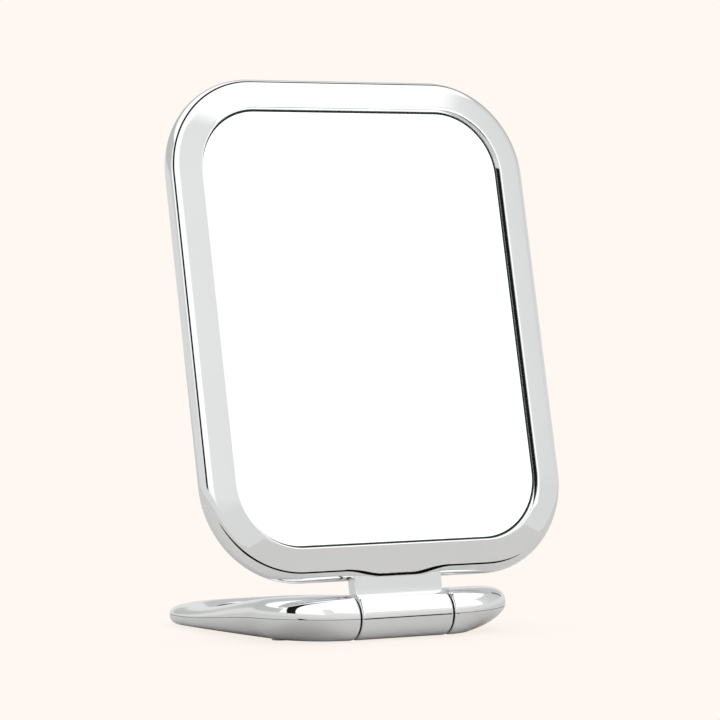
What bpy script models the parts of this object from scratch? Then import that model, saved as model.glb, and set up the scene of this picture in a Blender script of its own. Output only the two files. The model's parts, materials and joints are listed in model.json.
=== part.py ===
"""Folding shaving mirror.

A chromed frame holds a flat mirror. It turns on a friction hinge between the ends of a
hollow C-shaped loop, which is the stand when the mirror is up and the handle when the
mirror is swung out in line with it. Sizes are in millimetres and are turned into metres
where the meshes are made. The stand lies on z = 0 with its front towards -Y.
"""

import math

import bmesh
import bpy
from mathutils import Matrix, Vector

MM = 0.001
MERGE = 1e-6

# Mirror head, in the hinge's own frame: x along the hinge, y to the back, z up the plate
OPENING_W = 100.0
OPENING_H = 131.2
OPENING_R = 19.6
OPENING_RISE = 20.4          # hinge axis to the lower edge of the opening
PLATE_T = 10.2
BEZEL_FACE = 6.8             # width of the sloping front face
BEZEL_DROP = 1.5             # how far that face falls away from the lip
BEZEL_R = 3.68               # round between the face and the rim
LEAN = math.radians(11.6)
GAP = 0.3                    # between pieces that rest on each other

GLASS_DEPTH = 2.0            # front of the glass below the lip
GLASS_T = 2.0
GLASS_CHAMFER = 0.3
GLASS_MARGIN = 0.75          # between the glass and the opening, for its dark seal
WEB_W = 5.0                  # inner flange of the frame
WEB_T = 1.6
CHASSIS_T = 0.8
COVER_RECESS = 0.5
COVER_T = 1.2
COVER_RIM_AT = 10.4          # rim on the cover's inner side, in from the opening
COVER_RIM_W = 1.2
COVER_RIM_H = 1.2
COVER_EDGE = 0.3

# Lug: barrel, tab and tongue in one casting
BARREL_R = 6.65
BARREL_HALF = 15.1
BARREL_EDGE = 0.5
BARREL_BORE = 3.8
TAB_HALF = 14.4
TAB_FRONT = -2.5
TAB_BACK = 2.0
TAB_TOP = 10.4
TAB_FOOT = 4.4
TAB_EDGE = 0.6
TONGUE_HALF = 9.0
TONGUE_TOP = 30.0
TONGUE_FOOT = 5.0

# Pieces on the hinge pin, by their distance from the middle of the barrel
PIN_R = 2.0
PIN_END = 24.4
RUNNING = 0.05               # radial clearance of the bushes on the pin
LOOSE = 0.3                  # radial clearance of everything else on the pin
BUSH_R = 3.5
BUSH_INNER = 6.8
BUSH_T = 8.0
WASHER_R = 4.4
WASHER_AT = 15.4
WASHER_T = 0.5
PLUG_R = 4.4
PLUG_AT = 16.2
PLUG_T = 3.0
CLAMP_AT = 19.5              # first face beyond the plugs
PIN_HEAD_T = 1.8
HEAD_R = 3.3
SPRING_T = 0.4
SPRING_R = 3.5
SPRING_DISH = 0.2
SPRING_AT = 20.0
SPRING_PITCH = 1.1
NUT_AT = 21.8
NUT_T = 2.0
NUT_SIDES = 6
PIN_CHAMFER = 0.4
HEAD_CHAMFER = 0.3

# Loop stand: centre line in plan, and the section's half sizes
FOOT_PROUD = 0.3
LOOP_END = 15.6              # hinge end of each half of the loop
LOOP_CENTRE = 28.6           # centre line of each arm
LOOP_FRONT_R = 12.6
LOOP_REAR_R = 21.0
LOOP_BACK = 98.0             # centre line of the back bar behind the hinge axis
ARM_HALF = 12.4
BACK_HALF = 6.4
BACK_HALF_H = 3.0
TAPER_END = 80.0             # behind the axis, where the arms have thinned to the back bar
CREASE = 0.56                # height of the widest line, as a share of the section
ARM_TOP_POWER = 3.5          # squareness of the section above and below that line
BACK_TOP_POWER = 2.0
ARM_LOW_POWER = 2.0
BACK_LOW_POWER = 3.2
BEND_DIP = 0.8               # the underside is cut away by this much power round the bend
WALL = 1.5

# Shell screws and the feet that cover them
SCREW_R = 0.9
SCREW_CLEAR = 0.35
SCREW_HEAD_R = 1.7
SCREW_HEAD_T = 0.6
SCREW_FLOOR = 1.2            # shell left above a screw head
SHELL_SHANK_T = 2.7
CHASSIS_SHANK_T = 2.4
WEB_SCREW_REACH = 40.0       # above and below the middle of the plate
TONGUE_SCREW_X = 5.5
TONGUE_SCREW_DROP = 3.0      # below the top of the tongue
BOSS_R = 2.6
LOWER_BOSS_R = 3.0
BOSS_FLOOR = 0.8             # underside of the shell to the start of its boss
HOLE_TOP = 1.05              # shell left above a blind screw hole
FOOT_R = 3.0
FOOT_T = 0.6
FOOT_EDGE = 0.1
POCKET_R = 3.3
STAND_CORNERS = ("front_left", "front_right", "back_left", "back_right")
CHASSIS_SCREWS = ("lower_left_web_screw", "upper_left_web_screw", "lower_right_web_screw",
                  "upper_right_web_screw", "left_tongue_screw", "right_tongue_screw")
FRONT_FOOT_Y = 19.0
BACK_FOOT_X = 12.0

CUT_OVER = 1.0               # how far a cutter runs past the faces it cuts
DRILL_L = 12.0

CORNER_STEPS = 8
BEZEL_STEPS = 5
SECTION_STEPS = 8
BEND_STEPS = 8
ARM_STEPS = 5
QUARTER = math.radians(90)
ROUND_STEPS = 28
SMALL_STEPS = 14

PLATE_HALF = PLATE_T / 2
AXIS_Z = FOOT_PROUD + BARREL_R
AXIS_Y = (BARREL_R - LOOP_BACK - BACK_HALF) / 2   # centres the stand
ALONG_X = Matrix.Rotation(math.radians(90), 4, "Y")
ALONG_Y = Matrix.Rotation(math.radians(-90), 4, "X")
FACING_DOWN = Matrix.Rotation(math.radians(180), 4, "X")

FINISHES = {
    "chrome": ((0.86, 0.87, 0.88), 0.04, 1.0),
    "mirror": ((0.95, 0.96, 0.96), 0.01, 1.0),
    "steel": ((0.55, 0.56, 0.58), 0.28, 1.0),
    "chassis": ((0.62, 0.63, 0.64), 0.35, 1.0),
    "zinc": ((0.45, 0.46, 0.48), 0.45, 1.0),
    "acetal": ((0.90, 0.90, 0.87), 0.40, 0.0),
    "nylon": ((0.03, 0.03, 0.03), 0.50, 0.0),
    "foam": ((0.10, 0.10, 0.11), 0.90, 0.0),
    "silicone": ((0.80, 0.81, 0.82), 0.55, 0.0),
}


# ---------------------------------------------------------------- helpers

def clear_scene():
    for item in list(bpy.data.objects):
        bpy.data.objects.remove(item, do_unlink=True)


def new_collection(name):
    made = bpy.data.collections.new(name)
    bpy.context.scene.collection.children.link(made)
    return made


def make_finish(name):
    colour, roughness, metallic = FINISHES[name]
    finish = bpy.data.materials.new(name)
    finish.use_nodes = True
    shader = finish.node_tree.nodes["Principled BSDF"]
    shader.inputs["Base Color"].default_value = (*colour, 1.0)
    shader.inputs["Roughness"].default_value = roughness
    shader.inputs["Metallic"].default_value = metallic
    return finish


def as_mesh(name, work):
    bmesh.ops.recalc_face_normals(work, faces=work.faces)
    mesh = bpy.data.meshes.new(name)
    work.to_mesh(mesh)
    work.free()
    return mesh


class Model:
    """The collections, the finishes, and how a mesh becomes a piece or a cutter."""

    def __init__(self):
        self.pieces = new_collection("shaving_mirror")
        self.cutters = new_collection("cutters")
        self.finishes = {name: make_finish(name) for name in FINISHES}

    def _place(self, name, mesh, collection, parent):
        made = bpy.data.objects.new(name, mesh)
        collection.objects.link(made)
        made.parent = parent
        return made

    def piece(self, name, mesh, finish, parent, smooth=True):
        made = self._place(name, mesh, self.pieces, parent)
        mesh.materials.append(self.finishes[finish])
        if smooth:
            mesh.shade_smooth()
            mesh.set_sharp_from_angle(angle=math.radians(30))
        return made

    def cut(self, piece, name, mesh, operation="DIFFERENCE"):
        cutter = self._place(name, mesh, self.cutters, piece.parent)
        cutter.hide_render = True
        cutter.display_type = "WIRE"
        boolean = piece.modifiers.new(name, "BOOLEAN")
        boolean.operation = operation
        boolean.object = cutter

    def pivot(self, name, location, rotation=(0, 0, 0)):
        made = self._place(name, None, self.pieces, None)
        made.location = Vector(location) * MM
        made.rotation_euler = rotation
        return made


def loft(name, rings, closed):
    """Mesh through rings with the same number of points; open ends are capped."""
    work = bmesh.new()
    loops = [[work.verts.new(Vector(point) * MM) for point in ring] for ring in rings]
    pairs = list(zip(loops, loops[1:]))
    if closed:
        pairs.append((loops[-1], loops[0]))
    else:
        work.faces.new(loops[0])
        work.faces.new(loops[-1])
    count = len(loops[0])
    for first, second in pairs:
        for here in range(count):
            after = (here + 1) % count
            work.faces.new((first[here], first[after], second[after], second[here]))
    return as_mesh(name, work)


def box(name, low, high, edge=0.0):
    """Box between two corners, its upright edges rounded where edge is given."""
    low, high = Vector(low) * MM, Vector(high) * MM
    work = bmesh.new()
    bmesh.ops.create_cube(work, size=1.0)
    bmesh.ops.scale(work, vec=high - low, verts=work.verts)
    bmesh.ops.translate(work, vec=(low + high) / 2, verts=work.verts)
    if edge:
        upright = [e for e in work.edges if abs((e.verts[0].co - e.verts[1].co).z) > MERGE]
        bmesh.ops.bevel(work, geom=upright, offset=edge * MM, affect="EDGES",
                        segments=3, profile=0.5)
    return as_mesh(name, work)


def drill(name, places, radius, length, turn):
    """Cylinders of one size at several places, as one cutter."""
    work = bmesh.new()
    for place in places:
        matrix = Matrix.Translation(Vector(place) * MM) @ turn
        bmesh.ops.create_cone(work, cap_ends=True, segments=SMALL_STEPS, matrix=matrix,
                              radius1=radius * MM, radius2=radius * MM, depth=length * MM)
    return as_mesh(name, work)


def turned(name, profile, steps, turn, place=(0, 0, 0), bored=False):
    """Profile of (radius, height), down its outer side, spun about Z, turned and placed."""
    mesh = bpy.data.meshes.new(name)
    edges = [(i, i + 1) for i in range(len(profile) - 1)]
    if bored:
        edges.append((len(profile) - 1, 0))
    mesh.from_pydata([(r * MM, 0, h * MM) for r, h in profile], edges, [])
    blank = bpy.data.objects.new(name, mesh)
    bpy.context.scene.collection.objects.link(blank)
    screw = blank.modifiers.new("spin", "SCREW")
    screw.steps = steps
    screw.render_steps = steps
    screw.use_merge_vertices = True
    screw.merge_threshold = MERGE
    spun = bpy.data.meshes.new_from_object(
        blank.evaluated_get(bpy.context.evaluated_depsgraph_get()))
    bpy.data.objects.remove(blank, do_unlink=True)
    spun.transform(Matrix.Translation(Vector(place) * MM) @ turn)
    work = bmesh.new()
    work.from_mesh(spun)
    bpy.data.meshes.remove(spun)
    bmesh.ops.remove_doubles(work, verts=work.verts, dist=MERGE)
    return as_mesh(name, work)


def disc(radius, low, high):
    return [(0, high), (radius, high), (radius, low), (0, low)]


def ring(radius, bore, low, high):
    return [(radius, high), (radius, low), (bore, low), (bore, high)]


def screw_profile(shank):
    return [(0, 0), (SCREW_HEAD_R, 0), (SCREW_HEAD_R, -SCREW_HEAD_T),
            (SCREW_R, -SCREW_HEAD_T), (SCREW_R, -SCREW_HEAD_T - shank),
            (0, -SCREW_HEAD_T - shank)]


# ---------------------------------------------------------------- mirror head

def outline(offset, depth):
    """Rounded rectangle at an offset outside the opening and a depth behind the lip."""
    radius = OPENING_R + offset
    reach_x = OPENING_W / 2 - OPENING_R
    reach_z = OPENING_H / 2 - OPENING_R
    middle = OPENING_RISE + OPENING_H / 2
    points = []
    for quarter, (side_x, side_z) in enumerate(((1, 1), (-1, 1), (-1, -1), (1, -1))):
        for step in range(CORNER_STEPS + 1):
            angle = math.pi / 2 * (quarter + step / CORNER_STEPS)
            points.append((side_x * reach_x + radius * math.cos(angle), depth - PLATE_HALF,
                           middle + side_z * reach_z + radius * math.sin(angle)))
    return points


def swept(name, profile, closed=False):
    """Solid whose outline follows the opening at each (offset, depth) of the profile."""
    return loft(name, [outline(offset, depth) for offset, depth in profile], closed)


def frame_profile():
    slope = math.atan2(BEZEL_DROP, BEZEL_FACE)
    centre_b = BEZEL_FACE - BEZEL_R * math.sin(slope)
    centre_d = BEZEL_DROP + BEZEL_R * math.cos(slope)
    front = [(0.0, 0.6), (0.2, 0.2), (0.6, 0.13)]
    for step in range(BEZEL_STEPS + 1):
        angle = slope + (math.pi / 2 - slope) * step / BEZEL_STEPS
        front.append((centre_b + BEZEL_R * math.sin(angle),
                      centre_d - BEZEL_R * math.cos(angle)))
    back = [(b, PLATE_T - d) for b, d in reversed(front[:-1])]
    web_d = GLASS_DEPTH + GLASS_T + GAP
    web = [(0, web_d + WEB_T), (-WEB_W, web_d + WEB_T), (-WEB_W, web_d), (0, web_d)]
    return front + back + web


def web_screw_places():
    reach = OPENING_W / 2 - WEB_W / 2
    middle = OPENING_RISE + OPENING_H / 2
    return [(x, 0, z) for x in (-reach, reach)
            for z in (middle - WEB_SCREW_REACH, middle + WEB_SCREW_REACH)]


def tongue_screw_places():
    return [(side * TONGUE_SCREW_X, 0, TONGUE_TOP - TONGUE_SCREW_DROP) for side in (-1, 1)]


def build_frame(model, head):
    frame = model.piece("mirror_frame", swept("mirror_frame", frame_profile(), True),
                        "chrome", head)
    slot = box("tongue_slot", (-TONGUE_HALF - GAP, -WEB_T / 2 - GAP, TONGUE_FOOT - CUT_OVER),
               (TONGUE_HALF + GAP, WEB_T / 2 + GAP, TONGUE_TOP))
    model.cut(frame, "tongue_slot", slot)
    holes = drill("web_holes", web_screw_places(), SCREW_R + SCREW_CLEAR, DRILL_L, ALONG_Y)
    model.cut(frame, "web_holes", holes)


def build_glass(model, head):
    edge = -GLASS_MARGIN
    profile = [(edge - GLASS_CHAMFER, GLASS_DEPTH), (edge, GLASS_DEPTH + GLASS_CHAMFER),
               (edge, GLASS_DEPTH + GLASS_T)]
    model.piece("mirror_glass", swept("mirror_glass", profile), "mirror", head)


def build_backing_pad(model, head):
    edge = -WEB_W - GAP
    front = GLASS_DEPTH + GLASS_T + GAP
    pad = model.piece("backing_pad", swept("backing_pad", [(edge, front), (edge, front + WEB_T)]),
                      "foam", head)
    notch = box("pad_notch", (-TONGUE_HALF - GAP, -WEB_T, OPENING_RISE),
                (TONGUE_HALF + GAP, WEB_T, TONGUE_TOP + GAP))
    model.cut(pad, "pad_notch", notch)


def build_chassis(model, head):
    edge = -GAP
    front = GLASS_DEPTH + GLASS_T + GAP + WEB_T + GAP
    plate = model.piece("chassis_plate",
                        swept("chassis_plate", [(edge, front), (edge, front + CHASSIS_T)]),
                        "chassis", head)
    places = web_screw_places() + tongue_screw_places()
    holes = drill("plate_holes", places, SCREW_R + SCREW_CLEAR, DRILL_L, ALONG_Y)
    model.cut(plate, "plate_holes", holes)
    head_y = front + CHASSIS_T + GAP + SCREW_HEAD_T - PLATE_HALF
    for name, (x, _, z) in zip(CHASSIS_SCREWS, places):
        screw = turned(name, screw_profile(CHASSIS_SHANK_T), SMALL_STEPS, ALONG_Y, (x, head_y, z))
        model.piece(name, screw, "steel", head)


def build_back_cover(model, head):
    outer = PLATE_T - COVER_RECESS
    inner = outer - COVER_T
    rim_top = inner - COVER_RIM_H
    rim_in = -COVER_RIM_AT - COVER_RIM_W
    profile = [(rim_in, inner), (rim_in, rim_top), (-COVER_RIM_AT, rim_top),
               (-COVER_RIM_AT, inner), (-GAP, inner), (-GAP, outer - COVER_EDGE),
               (-GAP - COVER_EDGE, outer)]
    model.piece("back_cover", swept("back_cover", profile), "chrome", head)


def build_lug(model, head):
    half, edge = BARREL_HALF, BARREL_EDGE
    soft = edge * (1 - math.cos(math.radians(45)))
    profile = [(0, half), (BARREL_R - edge, half), (BARREL_R - soft, half - soft),
               (BARREL_R, half - edge), (BARREL_R, edge - half),
               (BARREL_R - soft, soft - half), (BARREL_R - edge, -half), (0, -half)]
    lug = model.piece("hinge_lug", turned("hinge_lug", profile, ROUND_STEPS, ALONG_X),
                      "chrome", head)
    model.cut(lug, "lug_tab", box("lug_tab", (-TAB_HALF, TAB_FRONT, TAB_FOOT),
                                  (TAB_HALF, TAB_BACK, TAB_TOP), TAB_EDGE), "UNION")
    model.cut(lug, "lug_tongue", box("lug_tongue", (-TONGUE_HALF, -WEB_T / 2, TONGUE_FOOT),
                                     (TONGUE_HALF, WEB_T / 2, TONGUE_TOP)), "UNION")
    bore_line = disc(BARREL_BORE, -half - CUT_OVER, half + CUT_OVER)
    bore = turned("lug_bore", bore_line, ROUND_STEPS, ALONG_X)
    model.cut(lug, "lug_bore", bore)
    holes = drill("tongue_holes", tongue_screw_places(), SCREW_R + SCREW_CLEAR, DRILL_L, ALONG_Y)
    model.cut(lug, "tongue_holes", holes)


def build_bushes(model, head):
    for side, name in ((-1, "left_bush"), (1, "right_bush")):
        profile = ring(BUSH_R, PIN_R + RUNNING, -BUSH_T / 2, BUSH_T / 2)
        place = (side * (BUSH_INNER + BUSH_T / 2), 0, 0)
        mesh = turned(name, profile, ROUND_STEPS, ALONG_X, place, bored=True)
        model.piece(name, mesh, "acetal", head)


# ---------------------------------------------------------------- hinge in the stand

def build_pin(model, stand):
    head_top = -CLAMP_AT - PIN_HEAD_T
    profile = [(0, PIN_END), (PIN_R - PIN_CHAMFER, PIN_END), (PIN_R, PIN_END - PIN_CHAMFER),
               (PIN_R, -CLAMP_AT), (HEAD_R, -CLAMP_AT), (HEAD_R, head_top + HEAD_CHAMFER),
               (HEAD_R - HEAD_CHAMFER, head_top), (0, head_top)]
    model.piece("hinge_pin", turned("hinge_pin", profile, ROUND_STEPS, ALONG_X), "steel", stand)


def build_pin_stack(model, stand):
    bore = PIN_R + LOOSE
    half_t = WASHER_T / 2
    for side, word in ((-1, "left"), (1, "right")):
        washer = turned(f"{word}_friction_washer", ring(WASHER_R, bore, -half_t, half_t),
                        ROUND_STEPS, ALONG_X, (side * (WASHER_AT + half_t), 0, 0), bored=True)
        model.piece(f"{word}_friction_washer", washer, "nylon", stand)
        plug = turned(f"{word}_knuckle_plug", ring(PLUG_R, bore, -PLUG_T / 2, PLUG_T / 2),
                      ROUND_STEPS, ALONG_X, (side * (PLUG_AT + PLUG_T / 2), 0, 0), bored=True)
        model.piece(f"{word}_knuckle_plug", plug, "zinc", stand)
    # Two cupped springs back to back, which keep the joint tight as the washers wear
    for index, dish in enumerate((SPRING_DISH, -SPRING_DISH)):
        name = f"cup_spring_{index + 1}"
        low, high = -SPRING_T / 2, SPRING_T / 2
        profile = [(SPRING_R, high + dish), (SPRING_R, low + dish), (bore, low - dish),
                   (bore, high - dish)]
        place = (SPRING_AT + index * SPRING_PITCH, 0, 0)
        mesh = turned(name, profile, ROUND_STEPS, ALONG_X, place, bored=True)
        model.piece(name, mesh, "steel", stand)
    nut = turned("pin_nut", disc(HEAD_R, 0, NUT_T), NUT_SIDES, ALONG_X, (NUT_AT, 0, 0))
    cutter = turned("nut_bore", disc(bore, -CUT_OVER, NUT_T + CUT_OVER), ROUND_STEPS, ALONG_X,
                    (NUT_AT, 0, 0))
    piece = model.piece("pin_nut", nut, "steel", stand, smooth=False)
    model.cut(piece, "nut_bore", cutter)


# ---------------------------------------------------------------- loop stand

def smooth(share):
    share = min(1.0, max(0.0, share))
    return share * share * (3 - 2 * share)


def half_path():
    """Stations from the right knuckle to the middle of the back bar.

    Each is (x, y, turn, corner, along): turn is the direction of the outward side, and
    corner and along say how far the section has changed round the bend and up the arm.
    """
    stations = [(LOOP_END, 0.0, 0.0, 0.0, 0.0)]
    front_x = LOOP_CENTRE - LOOP_FRONT_R
    for step in range(1, BEND_STEPS + 1):
        turn = QUARTER * step / BEND_STEPS
        stations.append((front_x + LOOP_FRONT_R * math.sin(turn),
                         LOOP_FRONT_R * (1 - math.cos(turn)), turn, step / BEND_STEPS, 0.0))
    start, end = LOOP_FRONT_R, LOOP_BACK - LOOP_REAR_R
    for step in range(1, ARM_STEPS + 1):
        share = step / ARM_STEPS
        stations.append((LOOP_CENTRE, start + (end - start) * share, QUARTER, 1.0, share))
    rear_x = LOOP_CENTRE - LOOP_REAR_R
    for step in range(1, BEND_STEPS + 1):
        turn = QUARTER * step / BEND_STEPS
        stations.append((rear_x + LOOP_REAR_R * math.cos(turn),
                         end + LOOP_REAR_R * math.sin(turn), QUARTER + turn, 1.0, 1.0))
    stations.append((0.0, LOOP_BACK, 2 * QUARTER, 1.0, 1.0))
    return stations


def half_sizes(y, corner, along):
    """Half width, half height, crease height and the two powers of a section."""
    blend = smooth(corner)
    width = BARREL_R + (ARM_HALF - BARREL_R) * blend + (BACK_HALF - ARM_HALF) * along
    height = BARREL_R + (BACK_HALF_H - BARREL_R) * smooth(max(0.0, y / TAPER_END))
    crease = 0.5 + (CREASE - 0.5) * blend
    top = 2.0 + (ARM_TOP_POWER - 2.0) * blend + (BACK_TOP_POWER - ARM_TOP_POWER) * along
    low = ARM_LOW_POWER + (BACK_LOW_POWER - ARM_LOW_POWER) * along
    low -= BEND_DIP * math.sin(math.pi * corner)
    return width, height, crease, top, low


def shell_section(station, upper):
    """C-shaped section of one shell at a station, outer line out and inner line back."""
    x, y, heading, corner, along = station
    width, height, crease, top, low = half_sizes(y, corner, along)
    power = top if upper else low
    seam = FOOT_PROUD + 2 * height * crease
    rise = 2 * height * (1 - crease) if upper else -2 * height * crease
    step_off = math.copysign(GAP / 2, rise)
    points = []
    for wall, order in ((0.0, 1), (WALL, -1)):
        lift = rise - step_off - math.copysign(wall, rise)
        for index in range(SECTION_STEPS + 1)[::order]:
            angle = math.pi * index / SECTION_STEPS
            across = math.copysign(abs(math.cos(angle)) ** (2 / power), math.cos(angle))
            across *= width - wall
            up = lift * abs(math.sin(angle)) ** (2 / power)
            points.append((x + across * math.sin(heading),
                           AXIS_Y + y - across * math.cos(heading), seam + step_off + up))
    return points


def shell_mesh(name, upper):
    right = [shell_section(station, upper) for station in half_path()]
    left = [[(-x, y, z) for x, y, z in section] for section in right[:-1]]
    return loft(name, right + left[::-1], False)


def foot_places():
    """(x, y, height of the seam, height of the top) over each foot."""
    start, end = LOOP_FRONT_R, LOOP_BACK - LOOP_REAR_R
    along = (FRONT_FOOT_Y - start) / (end - start)
    places = []
    for x, y, share in ((LOOP_CENTRE, FRONT_FOOT_Y, along), (BACK_FOOT_X, LOOP_BACK, 1.0)):
        _, height, crease, _, _ = half_sizes(y, 1.0, share)
        seam = FOOT_PROUD + 2 * height * crease
        for side in (-1, 1):
            places.append((side * x, AXIS_Y + y, seam, FOOT_PROUD + 2 * height))
    return places


def post(name, place, radius, low, high):
    """Upright cylinder over a foot, between two heights."""
    return turned(name, disc(radius, low, high), SMALL_STEPS, Matrix(), (*place, 0))


def build_shells(model, stand):
    upper = model.piece("loop_upper_shell", shell_mesh("loop_upper_shell", True), "chrome", stand)
    lower = model.piece("loop_lower_shell", shell_mesh("loop_lower_shell", False), "chrome", stand)
    hole, half_gap = SCREW_R + SCREW_CLEAR, GAP / 2
    for corner, (x, y, seam, top) in zip(STAND_CORNERS, foot_places()):
        at, floor = (x, y), seam - half_gap - SCREW_FLOOR
        jobs = (
            (upper, "upper_boss", "UNION", BOSS_R, seam + half_gap, top - WALL / 2),
            (upper, "upper_hole", "DIFFERENCE", hole, seam - CUT_OVER, top - HOLE_TOP),
            (lower, "lower_boss", "UNION", LOWER_BOSS_R, FOOT_PROUD + BOSS_FLOOR,
             seam - half_gap),
            (lower, "foot_pocket", "DIFFERENCE", POCKET_R, -CUT_OVER, FOOT_T + GAP),
            (lower, "head_pocket", "DIFFERENCE", SCREW_HEAD_R + GAP, FOOT_T, floor),
            (lower, "screw_hole", "DIFFERENCE", hole, floor - CUT_OVER / 2, seam + CUT_OVER),
        )
        for shell, name, operation, radius, low, high in jobs:
            model.cut(shell, f"{corner}_{name}", post(name, at, radius, low, high), operation)


def build_shell_screws(model, stand):
    for corner, (x, y, seam, _) in zip(STAND_CORNERS, foot_places()):
        name = f"{corner}_shell_screw"
        place = (x, y, seam - GAP / 2 - SCREW_FLOOR - GAP - SCREW_HEAD_T)
        screw = turned(name, screw_profile(SHELL_SHANK_T), SMALL_STEPS, FACING_DOWN, place)
        model.piece(name, screw, "steel", stand)


def build_feet(model, stand):
    profile = [(0, FOOT_T), (FOOT_R, FOOT_T), (FOOT_R, FOOT_EDGE), (FOOT_R - FOOT_EDGE, 0), (0, 0)]
    for corner, (x, y, _, _) in zip(STAND_CORNERS, foot_places()):
        name = f"{corner}_foot"
        foot = turned(name, profile, SMALL_STEPS, Matrix(), (x, y, 0))
        model.piece(name, foot, "silicone", stand)


def main():
    clear_scene()
    model = Model()
    head = model.pivot("mirror_hinge", (0, AXIS_Y, AXIS_Z), (-LEAN, 0, 0))
    knuckles = model.pivot("stand_hinge", (0, AXIS_Y, AXIS_Z))
    stand = model.pivot("loop_stand", (0, 0, 0))
    build_frame(model, head)
    build_glass(model, head)
    build_backing_pad(model, head)
    build_chassis(model, head)
    build_back_cover(model, head)
    build_lug(model, head)
    build_bushes(model, head)
    build_pin(model, knuckles)
    build_pin_stack(model, knuckles)
    build_shells(model, stand)
    build_shell_screws(model, stand)
    build_feet(model, stand)


main()
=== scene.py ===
"""Looks of the folding shaving mirror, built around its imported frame.

The chromed frame, its glass, the hinge lug, the back cover, the loop stand and the feet are
modelled finely here and stand for the CAD nodes in the same places. The smaller pieces keep
their CAD shape and get their own finish. Lengths are in millimetres in the classes' fields
and in metres in the meshes. The head is modelled upright in the hinge's own frame (x along
the hinge, y to the back, z up the plate) and then leant back.
"""

import json
import logging
import math
from dataclasses import dataclass
from enum import Enum
from typing import Any, Iterable, Optional, Sequence

import bmesh
import bpy
from mathutils import Matrix, Vector

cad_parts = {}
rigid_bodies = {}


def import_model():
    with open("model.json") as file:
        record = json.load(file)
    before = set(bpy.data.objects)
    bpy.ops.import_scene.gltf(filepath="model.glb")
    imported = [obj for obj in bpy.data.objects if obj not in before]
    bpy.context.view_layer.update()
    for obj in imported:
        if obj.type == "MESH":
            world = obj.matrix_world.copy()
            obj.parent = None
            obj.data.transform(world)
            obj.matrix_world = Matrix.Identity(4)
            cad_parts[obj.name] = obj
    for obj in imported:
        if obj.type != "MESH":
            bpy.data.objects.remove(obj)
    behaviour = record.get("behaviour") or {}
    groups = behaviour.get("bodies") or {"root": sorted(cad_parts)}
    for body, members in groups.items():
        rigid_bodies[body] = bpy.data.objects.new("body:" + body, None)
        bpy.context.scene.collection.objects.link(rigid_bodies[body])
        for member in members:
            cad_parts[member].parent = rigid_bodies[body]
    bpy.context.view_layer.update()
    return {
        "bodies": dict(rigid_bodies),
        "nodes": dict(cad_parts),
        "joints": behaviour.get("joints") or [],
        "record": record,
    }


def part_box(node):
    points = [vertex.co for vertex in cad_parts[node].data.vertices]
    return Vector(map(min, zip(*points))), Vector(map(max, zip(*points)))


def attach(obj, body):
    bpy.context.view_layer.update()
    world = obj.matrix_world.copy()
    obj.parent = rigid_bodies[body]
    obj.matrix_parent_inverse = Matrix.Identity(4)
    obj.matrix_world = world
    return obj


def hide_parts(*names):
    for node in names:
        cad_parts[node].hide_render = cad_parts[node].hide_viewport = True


MM = 0.001
MERGE = 1e-7
SWEEP_MERGE = 2e-6
MIRROR_MERGE = 5e-6
QUARTER = math.radians(90)
HEAD_BODY = "mirror_head"
STAND_BODY = "stand"
LOG = logging.getLogger("shaving_mirror")


class Grain(Enum):
    """How a finish varies over its surface, as the stretch of its noise along x, y and z."""

    CLOUDY = (1.0, 1.0, 1.0)
    BRUSHED_UPRIGHT = (60.0, 60.0, 1.0)
    DRAWN_LENGTHWISE = (1.0, 30.0, 30.0)


class ShellHalf(Enum):
    """The two shells that make the hollow loop; the value is the side of the seam."""

    UPPER = 1
    LOWER = -1


# ------------------------------------------------------------------------- finishes


class NodeDesk:
    """Lays out and joins the shader nodes of one material or world."""

    def __init__(self, tree: bpy.types.NodeTree) -> None:
        """Starts on an empty tree.

        Args:
            tree: the node tree to fill.
        """
        self.tree = tree
        tree.nodes.clear()

    def add(self, kind: str, settings: Optional[dict[str, Any]] = None,
            **inputs: Any) -> bpy.types.Node:
        """Adds a node.

        Args:
            kind: the node's type name, without its ShaderNode prefix.
            settings: values of the node's own properties.
            inputs: values or source sockets for inputs, named with _ for a space.

        Returns:
            The new node.
        """
        node = self.tree.nodes.new("ShaderNode" + kind)
        for name, value in (settings or {}).items():
            setattr(node, name, value)
        for name, value in inputs.items():
            socket = node.inputs[int(name[1:])] if name[1:].isdigit() else (
                node.inputs[name.replace("_", " ")])
            if isinstance(value, bpy.types.NodeSocket):
                self.tree.links.new(value, socket)
            else:
                socket.default_value = value
        return node

    def math(self, operation: str, first: Any, second: Any = 0.0) -> bpy.types.NodeSocket:
        """Adds a Math node.

        Args:
            operation: the name of the operation.
            first: the first value or socket.
            second: the second value or socket.

        Returns:
            The result's socket.
        """
        return self.add("Math", {"operation": operation}, i0=first, i1=second).outputs[0]

    def ease(self, value: Any, low: float, high: float) -> bpy.types.NodeSocket:
        """Adds a smooth step from 0 at low to 1 at high.

        Args:
            value: the socket to read.
            low: where the step starts.
            high: where it ends.

        Returns:
            The step's socket.
        """
        step = self.add("MapRange", {"interpolation_type": "SMOOTHSTEP"}, Value=value,
                        From_Min=low, From_Max=high, To_Min=0.0, To_Max=1.0)
        return step.outputs["Result"]


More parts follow.
